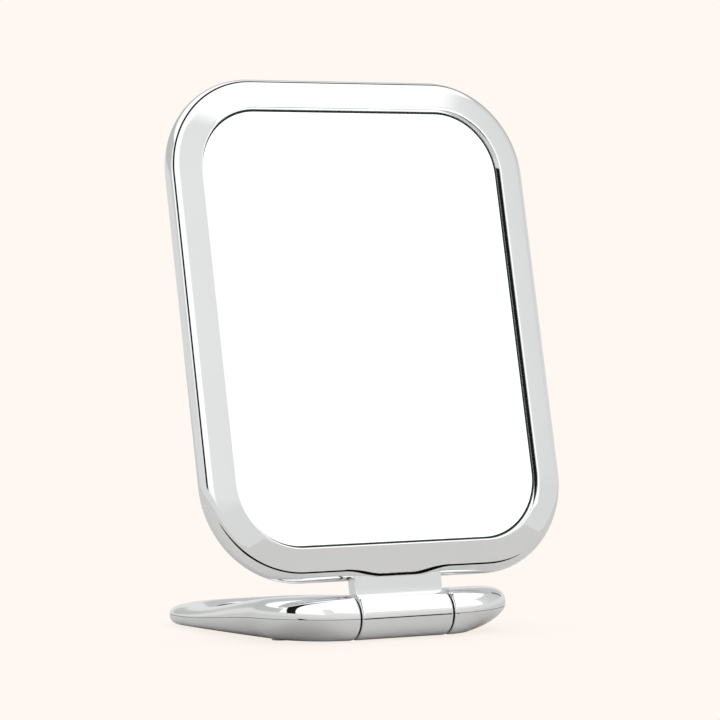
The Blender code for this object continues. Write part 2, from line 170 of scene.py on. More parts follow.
@dataclass(frozen=True)
class Finish:
    """A solid surface whose colour, gloss and fine relief vary with the place on the piece."""

    name: str
    slot: str
    colour: tuple[float, float, float]
    second_colour: tuple[float, float, float]
    metallic: float
    gloss_low: float
    gloss_high: float
    cloud_scale: float
    relief_scale: float
    relief_height: float
    grain: Grain = Grain.CLOUDY
    coat: float = 0.0

    def make(self) -> bpy.types.Material:
        """Builds the material.

        Returns:
            The new material.
        """
        material = bpy.data.materials.new(self.name)
        material.use_nodes = True
        desk = NodeDesk(material.node_tree)
        place = desk.add("TexCoord").outputs["Object"]
        stretched = desk.add("Mapping", Vector=place, Scale=self.grain.value).outputs[0]
        cloud = desk.add("TexNoise", Vector=stretched, Scale=self.cloud_scale, Detail=4.0,
                         Roughness=0.55)
        fine = desk.add("TexNoise", Vector=stretched, Scale=self.relief_scale, Detail=3.0,
                        Roughness=0.5)
        colour = desk.add("ValToRGB", Fac=cloud.outputs["Fac"])
        for stop, shade in zip(colour.color_ramp.elements, (self.colour, self.second_colour)):
            stop.color = (*shade, 1.0)
        colour.color_ramp.elements[0].position = 0.35
        colour.color_ramp.elements[1].position = 0.65
        gloss = desk.add("MapRange", Value=fine.outputs["Fac"], From_Min=0.3, From_Max=0.7,
                         To_Min=self.gloss_low, To_Max=self.gloss_high)
        relief = desk.add("Bump", Strength=1.0, Distance=self.relief_height * MM,
                          Height=fine.outputs["Fac"])
        shader = desk.add("BsdfPrincipled", Base_Color=colour.outputs["Color"],
                          Metallic=self.metallic, Roughness=gloss.outputs["Result"],
                          Normal=relief.outputs["Normal"])
        shader.inputs["Coat Weight"].default_value = self.coat
        desk.add("OutputMaterial", Surface=shader.outputs["BSDF"])
        return material


CHROME = Finish("chrome_plate", "chrome_plate", (0.875, 0.88, 0.885), (0.86, 0.866, 0.872), 1.0,
                0.018, 0.034, 35.0, 260.0, 0.003)
SILVER = Finish("silvered_glass", "mirror_silver", (0.96, 0.965, 0.965), (0.955, 0.962, 0.96),
                1.0, 0.0, 0.004, 12.0, 90.0, 0.0)
GLASS_EDGE = Finish("ground_glass_edge", "mirror_silver", (0.34, 0.42, 0.39),
                    (0.28, 0.36, 0.33), 0.0, 0.25, 0.4, 900.0, 4000.0, 0.01)
# Near-black filler for the gap round the glass: painted shade of the deep gap between the glass
# and the frame.
GAP_SHADE_FILL = Finish("painted_gap_shade_black", "foam", (0.006, 0.006, 0.006), (0.012, 0.012, 0.012), 0.0,
              0.55, 0.75, 500.0, 3000.0, 0.01)
COVER = Finish("brushed_cover", "cover_metal", (0.80, 0.81, 0.82), (0.74, 0.75, 0.765), 1.0,
               0.16, 0.30, 25.0, 60.0, 0.004, Grain.BRUSHED_UPRIGHT)
CHASSIS = Finish("rolled_chassis", "chassis_metal", (0.62, 0.63, 0.64), (0.56, 0.57, 0.585),
                 1.0, 0.28, 0.42, 30.0, 90.0, 0.006, Grain.BRUSHED_UPRIGHT)
STEEL = Finish("turned_steel", "steel", (0.56, 0.57, 0.59), (0.48, 0.49, 0.51), 1.0,
               0.2, 0.36, 300.0, 1500.0, 0.008, Grain.DRAWN_LENGTHWISE)
ZINC = Finish("cast_zinc", "zinc_casting", (0.46, 0.47, 0.49), (0.38, 0.39, 0.41), 1.0,
              0.4, 0.6, 400.0, 2500.0, 0.03)
ACETAL = Finish("acetal", "acetal", (0.89, 0.89, 0.86), (0.86, 0.86, 0.83), 0.0,
                0.3, 0.42, 200.0, 2000.0, 0.01)
NYLON = Finish("black_nylon", "nylon", (0.03, 0.03, 0.031), (0.045, 0.045, 0.047), 0.0,
               0.42, 0.6, 300.0, 2500.0, 0.02)
FOAM = Finish("foam_pad", "foam", (0.10, 0.10, 0.11), (0.06, 0.06, 0.066), 0.0,
              0.85, 1.0, 900.0, 2600.0, 0.25)
SILICONE = Finish("grey_silicone", "silicone", (0.79, 0.80, 0.81), (0.74, 0.75, 0.765), 0.0,
                  0.45, 0.62, 250.0, 3000.0, 0.02, coat=0.05)


# ------------------------------------------------------------------- modelling tools


def of_kind(items: Iterable[Any], kind: type) -> list[Any]:
    """Picks the verts, edges or faces out of an operator's result.

    Args:
        items: what the operator returned.
        kind: the bmesh type wanted.

    Returns:
        The items of that type.
    """
    return [item for item in items if isinstance(item, kind)]


class Pen:
    """Draws a profile as a chain of edges in one plane of a bmesh."""

    def __init__(self, work: bmesh.types.BMesh, plane: Matrix, u: float, v: float) -> None:
        """Puts the pen down.

        Args:
            work: the bmesh to draw in.
            plane: takes the profile's (u, v, 0), in millimetres, to the place wanted.
            u: the first point's u.
            v: the first point's v.
        """
        self.work = work
        self.plane = plane
        self.first = self.tip = work.verts.new(self._at(u, v))

    def _at(self, u: float, v: float) -> Vector:
        """Gives the point for a profile's u and v."""
        return (self.plane @ Vector((u, v, 0.0))) * MM

    def line(self, u: float, v: float) -> None:
        """Draws a straight edge.

        Args:
            u: the edge's far end, along the plane's first axis.
            v: the same along its second axis.
        """
        made = bmesh.ops.extrude_vert_indiv(self.work, verts=[self.tip])
        self.tip = made["verts"][0]
        self.tip.co = self._at(u, v)

    def arc(self, u: float, v: float, angle: float, steps: int) -> None:
        """Draws an arc from the tip round a centre.

        Args:
            u: the centre's u.
            v: the centre's v.
            angle: how far to turn, positive from the first axis to the second.
            steps: the number of edges.
        """
        axis = self.plane.to_3x3() @ Vector((0.0, 0.0, 1.0))
        made = bmesh.ops.spin(self.work, geom=[self.tip], cent=self._at(u, v), axis=axis,
                              dvec=(0.0, 0.0, 0.0), angle=angle, steps=steps)
        self.tip = of_kind(made["geom_last"], bmesh.types.BMVert)[0]

    def close(self) -> None:
        """Joins the tip to the first point."""
        self.work.edges.new((self.tip, self.first))


def push(work: bmesh.types.BMesh, edges: Sequence[bmesh.types.BMEdge], step: Vector,
         count: int) -> list[Any]:
    """Extrudes edges in a straight line.

    Args:
        work: the bmesh.
        edges: the edges to start from.
        step: the length of one extrusion, in metres.
        count: how many extrusions.

    Returns:
        The last verts and edges.
    """
    geom: list[Any] = list(edges)
    for _ in range(count):
        made = bmesh.ops.extrude_edge_only(work, edges=of_kind(geom, bmesh.types.BMEdge))
        geom = made["geom"]
        bmesh.ops.translate(work, verts=of_kind(geom, bmesh.types.BMVert), vec=step)
    return geom


def close_holes(work: bmesh.types.BMesh) -> None:
    """Fills every open loop of a swept plate."""
    open_edges = [edge for edge in work.edges if edge.is_boundary]
    bmesh.ops.holes_fill(work, edges=open_edges, sides=0)


def place_piece(name: str, work: bmesh.types.BMesh, finishes: Sequence[Finish], body: str,
                stands_for: Sequence[str], materials: dict[str, bpy.types.Material],
                sharp: float = 35.0, place: Matrix = Matrix()) -> bpy.types.Object:
    """Turns a bmesh into a finished piece of the object.

    Args:
        name: the piece's name.
        work: its bmesh, which is freed.
        finishes: its finishes, in the order of its faces' material numbers.
        body: the CAD body it rides on.
        stands_for: the CAD nodes it replaces.
        materials: the made materials by finish name.
        sharp: the angle in degrees past which an edge stays sharp.
        place: where the modelled shape goes in the row frame, in metres.

    Returns:
        The new object.
    """
    bmesh.ops.remove_doubles(work, verts=work.verts, dist=MERGE)
    bmesh.ops.recalc_face_normals(work, faces=work.faces)
    work.transform(place)
    mesh = bpy.data.meshes.new(name)
    work.to_mesh(mesh)
    work.free()
    for finish in finishes:
        mesh.materials.append(materials[finish.name])
    mesh.shade_smooth()
    mesh.set_sharp_from_angle(angle=math.radians(sharp))
    piece = bpy.data.objects.new(name, mesh)
    bpy.context.scene.collection.objects.link(piece)
    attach(piece, body)
    if stands_for:
        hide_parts(*stands_for)
    LOG.info("%s: %d faces on %s", name, len(mesh.polygons), body)
    return piece


def joined(work: bmesh.types.BMesh, other: bmesh.types.BMesh) -> bmesh.types.BMesh:
    """Unites two closed solids into one skin.

    Args:
        work: the first solid, which is freed.
        other: the second solid, which is freed.

    Returns:
        The united solid as a new bmesh.
    """
    made = []
    for solid in (work, other):
        bmesh.ops.recalc_face_normals(solid, faces=solid.faces)
        mesh = bpy.data.meshes.new("union_part")
        solid.to_mesh(mesh)
        solid.free()
        piece = bpy.data.objects.new("union_part", mesh)
        bpy.context.scene.collection.objects.link(piece)
        made.append(piece)
    union = made[0].modifiers.new("union", "BOOLEAN")
    union.operation = "UNION"
    union.solver = "EXACT"
    union.object = made[1]
    ready = made[0].evaluated_get(bpy.context.evaluated_depsgraph_get())
    result = bmesh.new()
    result.from_mesh(ready.to_mesh())
    ready.to_mesh_clear()
    for piece in made:
        bpy.data.objects.remove(piece, do_unlink=True)
    return result


# ---------------------------------------------------------------------- mirror head


@dataclass
class MirrorHead:
    """The framed glass and its cover, which turn on the hinge."""

    opening_w: float = 100.0
    opening_h: float = 131.2
    opening_r: float = 19.6
    opening_rise: float = 20.4
    plate_t: float = 10.2
    face_w: float = 6.77
    face_drop: float = 1.5
    crown: float = math.radians(1.2)
    lip_r: float = 0.35
    wall_draft: float = 0.5
    glass_depth: float = 2.0
    glass_t: float = 2.0
    glass_gap: float = 0.75
    glass_chamfer: float = 0.1
    web_w: float = 5.0
    web_t: float = 1.6
    web_at: float = 4.3
    cover_recess: float = 0.5
    cover_t: float = 1.2
    cover_gap: float = 0.3
    cover_edge: float = 0.4
    cover_dish: float = 14.0
    cover_step: float = 0.25
    tab_reach: float = 17.5
    tab_flat: float = 5.5
    tab_sharpness: float = 0.8
    on_rim: float = 0.01
    # How far behind the glass's front the near-black strip that paints the gap's shade starts.
    gap_shade_drop: float = 0.32
    wall_run_on: float = 0.3
    dish_run: float = 2.0
    corner_steps: int = 32
    side_steps: int = 4
    bar_steps: int = 72
    round_steps: int = 32
    face_steps: int = 8
    soft_steps: int = 6

    @property
    def slope(self) -> float:
        """The face's fall away from the lip, as an angle."""
        return math.atan2(self.face_drop, self.face_w)

    @property
    def rim_r(self) -> float:
        """The rim's radius, which makes its front and back rounds one half circle."""
        return (self.plate_t / 2 - self.face_drop) / math.cos(self.slope)

    @property
    def rim_at(self) -> float:
        """How far outside the opening the rim's round has its centre."""
        return self.face_w - self.rim_r * math.sin(self.slope)

    def _pen(self, work: bmesh.types.BMesh, offset: float, depth: float) -> Pen:
        """Puts a pen down beside the top right corner.

        Args:
            work: the bmesh.
            offset: how far outside the opening.
            depth: how far behind the lip.

        Returns:
            The pen, whose u is the offset and whose v is the depth.
        """
        start = Vector((self.opening_w / 2, -self.plate_t / 2,
                        self.opening_rise + self.opening_h - self.opening_r))
        return Pen(work, Matrix.Translation(start), offset, depth)

    def _sweep(self, work: bmesh.types.BMesh) -> None:
        """Carries the drawn profile once round the opening."""
        reach_x = (self.opening_w / 2 - self.opening_r) * MM
        reach_z = (self.opening_h / 2 - self.opening_r) * MM
        middle = (self.opening_rise + self.opening_h / 2) * MM
        geom: list[Any] = list(work.verts) + list(work.edges)
        sides = (((1, 1), Vector((-1, 0, 0)), reach_x, self.side_steps),
                 ((-1, 1), Vector((0, 0, -1)), reach_z, self.side_steps),
                 ((-1, -1), Vector((1, 0, 0)), reach_x, self.bar_steps),
                 ((1, -1), Vector((0, 0, 1)), reach_z, self.side_steps))
        for (side_x, side_z), along, reach, steps in sides:
            centre = Vector((side_x * reach_x, 0.0, middle + side_z * reach_z))
            made = bmesh.ops.spin(work, geom=geom, cent=centre, axis=(0.0, -1.0, 0.0),
                                  dvec=(0.0, 0.0, 0.0), angle=QUARTER,
                                  steps=self.corner_steps)
            edges = of_kind(made["geom_last"], bmesh.types.BMEdge)
            geom = push(work, edges, along * (2 * reach / steps), steps)
            geom = of_kind(geom, bmesh.types.BMVert) + of_kind(geom, bmesh.types.BMEdge)
        bmesh.ops.remove_doubles(work, verts=work.verts, dist=SWEEP_MERGE)

    def _face_start(self) -> float:
        """The face's tilt where it leaves the lip, which the crown sets."""
        end_u = self.rim_at + self.rim_r * math.sin(self.slope + self.crown)
        end_v = self.plate_t / 2 - self.rim_r * math.cos(self.slope + self.crown)
        chord = math.atan2(end_v, end_u - self.lip_r)
        return 2 * chord - self.slope - self.crown

    def _draw_face(self, pen: Pen, back: bool) -> None:
        """Draws the crowned face between the lip and the rim.

        Args:
            pen: the pen, at the face's first end.
            back: whether this is the back face, drawn from the rim to the lip.
        """
        start, end = self._face_start(), self.slope + self.crown
        rim = Vector((self.rim_at, self.plate_t / 2))
        edge = rim + self.rim_r * Vector((math.sin(end), -math.cos(end)))
        inner = Vector((self.lip_r * (1 + math.sin(start)), self.lip_r * (1 - math.cos(start))))
        radius = (edge - inner).length / (2 * math.sin((end - start) / 2))
        centre = edge - radius * Vector((math.sin(end), -math.cos(end)))
        if back:
            centre.y = self.plate_t - centre.y
        pen.arc(centre.x, centre.y, end - start, self.face_steps)

    def build_frame(self) -> bmesh.types.BMesh:
        """Models the frame: a soft lip, a crowned sloping face and a round rim.

        Returns:
            The frame's bmesh, with its lower bar run out over the hinge's tab.
        """
        work = bmesh.new()
        draft, lip, deep = self.wall_draft, self.lip_r, self.plate_t
        tilt = math.atan2(draft, self.glass_depth)
        start, end = self._face_start(), self.slope + self.crown
        first_u = lip - lip * math.cos(tilt)
        first_v = lip - lip * math.sin(tilt)
        pen = self._pen(work, first_u, first_v)
        pen.arc(lip, lip, QUARTER - tilt + start, self.face_steps)
        self._draw_face(pen, back=False)
        pen.arc(self.rim_at, deep / 2, 2 * (QUARTER - end), self.round_steps)
        self._draw_face(pen, back=True)
        pen.arc(lip, deep - lip, QUARTER - start, self.face_steps)
        pen.line(0.0, self.web_at + self.web_t)
        pen.line(-self.web_w, self.web_at + self.web_t)
        pen.line(-self.web_w, self.web_at)
        pen.line(-draft, self.web_at)
        pen.line(-draft, self.glass_depth + self.wall_run_on)
        pen.close()
        self._sweep(work)
        self._run_out_over_tab(work)
        return work

    def _run_out_over_tab(self, work: bmesh.types.BMesh) -> None:
        """Draws the lower bar's front round in over the hinge's tab.

        The face then runs straight on, to a small round at the tab's top edge.

        Args:
            work: the frame's bmesh.
        """
        end = self.slope + self.crown
        step = 2 * (QUARTER - end) / self.round_steps
        centre_z = self.opening_rise - self.rim_at
        drop = self.rim_r * (1 - math.sin(end))
        corner = Vector((-self.rim_r * math.cos(end) + drop * math.tan(end),
                         centre_z - self.rim_r))
        for vert in work.verts:
            x, y, z = (value / MM for value in vert.co)
            angle = math.atan2(centre_z - z, -y)
            near = math.hypot(y, centre_z - z)
            if abs(x) > self.tab_reach or abs(near - self.rim_r) > self.on_rim or not (
                    end + step / 2 < angle <= QUARTER + step / 2):
                continue
            weight = min(1.0, (self.tab_reach - abs(x)) / (self.tab_reach - self.tab_flat))
            weight *= weight * (3 - 2 * weight)
            turn = angle - step * weight * (QUARTER - angle) / (QUARTER - end - step)
            place = Vector((-self.rim_r * math.cos(turn), centre_z - self.rim_r * math.sin(turn)))
            place = corner.lerp(place, 1 - self.tab_sharpness * weight)
            vert.co.y, vert.co.z = place.x * MM, place.y * MM

    def build_glass(self) -> bmesh.types.BMesh:
        """Models the glass with its ground edge.

        Returns:
            The glass's bmesh; its front face has the first finish and its edge the second.
        """
        work = bmesh.new()
        edge, cut = -self.glass_gap, self.glass_chamfer
        pen = self._pen(work, edge - cut, self.glass_depth)
        pen.line(edge, self.glass_depth + cut)
        pen.line(edge, self.glass_depth + self.glass_t - cut)
        pen.line(edge - cut, self.glass_depth + self.glass_t)
        self._sweep(work)
        for face in work.faces:
            face.material_index = 1
        close_holes(work)
        front = min(work.faces, key=lambda face: face.calc_center_median().y)
        front.material_index = 0
        return work

    def build_gap_shade_strip(self) -> bmesh.types.BMesh:
        """Models a near-black strip in the gap between the glass and the frame, which paints the
        gap's shade.

        Returns:
            The strip's bmesh.
        """
        work = bmesh.new()
        low, high = -self.glass_gap, -self.wall_draft
        top, deep = self.glass_depth + self.gap_shade_drop, self.web_at
        pen = self._pen(work, low, top)
        pen.line(high, top)
        pen.line(high, deep)
        pen.line(low, deep)
        pen.close()
        self._sweep(work)
        return work

    def build_cover(self) -> bmesh.types.BMesh:
        """Models the back cover with a shallow pressed step near its edge.

        Returns:
            The cover's bmesh.
        """
        work = bmesh.new()
        outer = self.plate_t - self.cover_recess
        inner = outer - self.cover_t
        edge, soft, step = -self.cover_gap, self.cover_edge, self.cover_step
        pen = self._pen(work, -self.cover_dish, inner)
        pen.line(edge, inner)
        pen.line(edge, outer - soft)
        pen.arc(edge - soft, outer - soft, QUARTER, self.soft_steps)
        pen.line(self.dish_run - self.cover_dish, outer)
        pen.line(-self.cover_dish, outer - step)
        self._sweep(work)
        close_holes(work)
        return work


@dataclass
class HingeLug:
    """The barrel on the hinge pin and the tab that carries the mirror head."""

    barrel_r: float = 6.65
    barrel_half: float = 15.1
    barrel_edge: float = 0.9
    bore_r: float = 3.8
    tab_half: float = 14.4
    tab_top: float = 11.3
    tab_top_y: float = -2.87
    tab_mid: float = 8.6
    tab_mid_y: float = -2.62
    tab_front: float = -2.5
    tab_back: float = 2.0
    tab_foot: float = 4.6
    tab_edge: float = 0.45
    tab_edge_steps: int = 4
    steps: int = 160
    soft_steps: int = 8

    def build_barrel(self) -> bmesh.types.BMesh:
        """Models the barrel as a bored tube with soft ends.

        Returns:
            The barrel's bmesh.
        """
        work = bmesh.new()
        half, edge, radius = self.barrel_half, self.barrel_edge, self.barrel_r
        pen = Pen(work, Matrix(), half, self.bore_r)
        pen.line(half, radius - edge)
        pen.arc(half - edge, radius - edge, QUARTER, self.soft_steps)
        pen.line(edge - half, radius)
        pen.arc(edge - half, radius - edge, QUARTER, self.soft_steps)
        pen.line(-half, self.bore_r)
        pen.close()
        bmesh.ops.spin(work, geom=list(work.verts) + list(work.edges), cent=(0.0, 0.0, 0.0),
                       axis=(1.0, 0.0, 0.0), dvec=(0.0, 0.0, 0.0), angle=4 * QUARTER,
                       steps=self.steps, use_merge=True)
        bmesh.ops.remove_doubles(work, verts=work.verts, dist=SWEEP_MERGE)
        return work

    def build_tab(self) -> bmesh.types.BMesh:
        """Models the tab, hollowed a little in front, with soft upright edges.

        Returns:
            The tab's bmesh.
        """
        work = bmesh.new()
        plane = Matrix(((0, 0, 1, -self.tab_half), (1, 0, 0, 0), (0, 1, 0, 0), (0, 0, 0, 1)))
        pen = Pen(work, plane, self.tab_top_y, self.tab_top)
        pen.line(self.tab_mid_y, self.tab_mid)
        pen.line(self.tab_front, (self.tab_mid + self.tab_foot) / 2)
        pen.line(self.tab_front, self.tab_foot)
        pen.line(self.tab_back, self.tab_foot)
        pen.line(self.tab_back, self.tab_top)
        pen.close()
        push(work, list(work.edges), Vector((2 * self.tab_half * MM, 0.0, 0.0)), 1)
        close_holes(work)
        ends = [edge for edge in work.edges
                if abs(edge.verts[0].co.x - edge.verts[1].co.x) < MERGE
                and abs(edge.verts[0].co.z - edge.verts[1].co.z) > 0.5 * MM]
        bmesh.ops.bevel(work, geom=ends, offset=self.tab_edge * MM, offset_type="OFFSET",
                        affect="EDGES", segments=self.tab_edge_steps, profile=0.5,
                        material=-1)
        return work

    def build(self) -> bmesh.types.BMesh:
        """Joins the tab to the barrel.

        Returns:
            The lug's bmesh.
        """
        return joined(self.build_barrel(), self.build_tab())


# ----------------------------------------------------------------------- loop stand


@dataclass(frozen=True)
class Station:
    """One place on the loop's centre line and how far its section has changed there."""

    x: float
    y: float
    heading: float
    corner: float
    along: float
    inset: float = 0.0


@dataclass
class LoopStand:
    """The two chromed shells of the loop, and the feet under them."""

    hinge_y: float
    foot_proud: float = 0.3
    end_x: float = 15.6
    centre_x: float = 28.6
    front_r: float = 12.6
    rear_r: float = 21.0
    back_y: float = 98.0
    knuckle_r: float = 6.65
    arm_half: float = 12.4
    back_half: float = 6.4
    back_half_h: float = 3.0
    taper_end: float = 80.0
    crease: float = 0.56
    arm_top_power: float = 3.5
    back_top_power: float = 2.0
    arm_low_power: float = 2.0
    back_low_power: float = 3.2
    bend_dip: float = 0.8
    wall: float = 1.5
    seam_gap: float = 0.12
    end_round: float = 0.9
    foot_r: float = 3.0
    foot_t: float = 0.6
    foot_edge: float = 0.12
    foot_steps: int = 48
    foot_edge_steps: int = 3
    end_steps: int = 8
    bar_steps: int = 4
    section_steps: int = 56
    bend_steps: int = 40
    arm_steps: int = 36

    @staticmethod
    def _ease(share: float) -> float:
        """Gives a smooth step of a share from 0 to 1."""
        share = min(1.0, max(0.0, share))
        return share * share * (3 - 2 * share)

    def station(self, run: float, inset: float = 0.0) -> Station:
        """Finds a place on the right half of the centre line.

        Args:
            run: the distance along the line from the knuckle's end face.
            inset: how far the section is drawn in there.

        Returns:
            The station.
        """
        bend_x = self.centre_x - self.front_r
        lead = bend_x - self.end_x
        bend = self.front_r * QUARTER
        arm_end = self.back_y - self.rear_r
        arm = arm_end - self.front_r
        rear = self.rear_r * QUARTER
        if run <= lead:
            return Station(self.end_x + run, 0.0, 0.0, 0.0, 0.0, inset)
        run -= lead
        if run <= bend:
            turn = run / self.front_r
            return Station(bend_x + self.front_r * math.sin(turn),
                           self.front_r * (1 - math.cos(turn)), turn, turn / QUARTER, 0.0, inset)
        run -= bend
        if run <= arm:
            return Station(self.centre_x, self.front_r + run, QUARTER, 1.0, run / arm)
        run -= arm
        rear_x = self.centre_x - self.rear_r
        if run <= rear:
            turn = run / self.rear_r
            return Station(rear_x + self.rear_r * math.cos(turn),
                           arm_end + self.rear_r * math.sin(turn), QUARTER + turn, 1.0, 1.0)
        run -= rear
        return Station(max(0.0, rear_x - run), self.back_y, 2 * QUARTER, 1.0, 1.0)

    def stations(self) -> list[Station]:
        """Lists the stations from the knuckle to the middle of the back bar."""
        made = []
        for step in range(self.end_steps + 1):
            turn = QUARTER * step / self.end_steps
            made.append(self.station(self.end_round * (1 - math.cos(turn)),
                                     self.end_round * (1 - math.sin(turn))))
        lead = self.centre_x - self.front_r - self.end_x
        lengths = ((lead + self.front_r * QUARTER - self.end_round, self.bend_steps),
                   (self.back_y - self.rear_r - self.front_r, self.arm_steps),
                   (self.rear_r * QUARTER, self.bend_steps),
                   (self.centre_x - self.rear_r, self.bar_steps))
        run = self.end_round
        for length, steps in lengths:
            made += [self.station(run + length * step / steps) for step in range(1, steps + 1)]
            run += length
        return made

    def sizes(self, place: Station) -> tuple[float, float, float, float, float]:
        """Gives the section at a station.

        Args:
            place: the station.

        Returns:
            Half width, half height, crease height, and the powers above and below it.
        """
        blend = self._ease(place.corner)
        width = (self.knuckle_r + (self.arm_half - self.knuckle_r) * blend
                 + (self.back_half - self.arm_half) * place.along)
        height = self.knuckle_r + (self.back_half_h - self.knuckle_r) * self._ease(
            place.y / self.taper_end)
        crease = 0.5 + (self.crease - 0.5) * blend
        top = 2.0 + (self.arm_top_power - 2.0) * blend + (
            self.back_top_power - self.arm_top_power) * place.along
        low = self.arm_low_power + (self.back_low_power - self.arm_low_power) * place.along
        low -= self.bend_dip * math.sin(math.pi * place.corner)
        return width, height, crease, top, low

    def point(self, place: Station, half: ShellHalf, index: int) -> Vector:
        """Gives one point of a shell's C-shaped section.

        Args:
            place: the station.
            half: which shell.
            index: the point's number, along the outer line and back along the inner one.

        Returns:
            The point in metres in the row frame.
        """
        steps, side = self.section_steps, half.value
        outer = index <= steps
        turn = math.pi * (index if outer else 2 * steps + 1 - index) / steps
        width, height, crease, top, low = self.sizes(place)
        power = top if half is ShellHalf.UPPER else low
        share = (1 - crease) if half is ShellHalf.UPPER else crease
        off = place.inset if outer else self.wall
        rise = 2 * height * share - self.seam_gap / 2 - off
        across = math.copysign(abs(math.cos(turn)) ** (2 / power), math.cos(turn))
        across *= width - off
        up = rise * abs(math.sin(turn)) ** (2 / power)
        seam = self.foot_proud + 2 * height * crease
        return Vector((place.x + across * math.sin(place.heading),
                       self.hinge_y + place.y - across * math.cos(place.heading),
                       seam + side * (self.seam_gap / 2 + up))) * MM

    def build_shell(self, half: ShellHalf) -> bmesh.types.BMesh:
        """Models one shell by pushing its section along half the loop and mirroring it.

        Args:
            half: which shell.

        Returns:
            The shell's bmesh.
        """
        work = bmesh.new()
        number = work.verts.layers.int.new("section_point")
        made = bmesh.ops.create_circle(work, cap_ends=False, radius=MM,
                                       segments=2 * (self.section_steps + 1))
        places = self.stations()
        for index, vert in enumerate(made["verts"]):
            vert[number] = index
            vert.co = self.point(places[0], half, index)
        edges = list(work.edges)
        first = list(edges)
        for place in places[1:]:
            geom = bmesh.ops.extrude_edge_only(work, edges=edges)["geom"]
            edges = of_kind(geom, bmesh.types.BMEdge)
            for vert in of_kind(geom, bmesh.types.BMVert):
                vert.co = self.point(place, half, vert[number])
        bmesh.ops.holes_fill(work, edges=first, sides=0)
        everything = list(work.verts) + list(work.edges) + list(work.faces)
        bmesh.ops.mirror(work, geom=everything, matrix=Matrix(), merge_dist=MIRROR_MERGE,
                         axis="X")
        return work

    def build_foot(self, x: float, y: float) -> bmesh.types.BMesh:
        """Models a foot: a low disc with a soft edge.

        Args:
            x: the foot's place across the stand, in metres.
            y: its place along it.

        Returns:
            The foot's bmesh.
        """
        work = bmesh.new()
        thick = self.foot_t * MM
        radius = self.foot_r * MM
        bmesh.ops.create_cone(work, cap_ends=True, segments=self.foot_steps, radius1=radius,
                              radius2=radius, depth=thick,
                              matrix=Matrix.Translation((x, y, thick / 2)))
        rims = [edge for edge in work.edges if all(vert.co.z < thick / 2 for vert in edge.verts)]
        bmesh.ops.bevel(work, geom=rims, offset=self.foot_edge * MM, offset_type="OFFSET",
                        affect="EDGES", segments=self.foot_edge_steps, profile=0.5, material=-1)
        return work


# --------------------------------------------------------------------------- studio


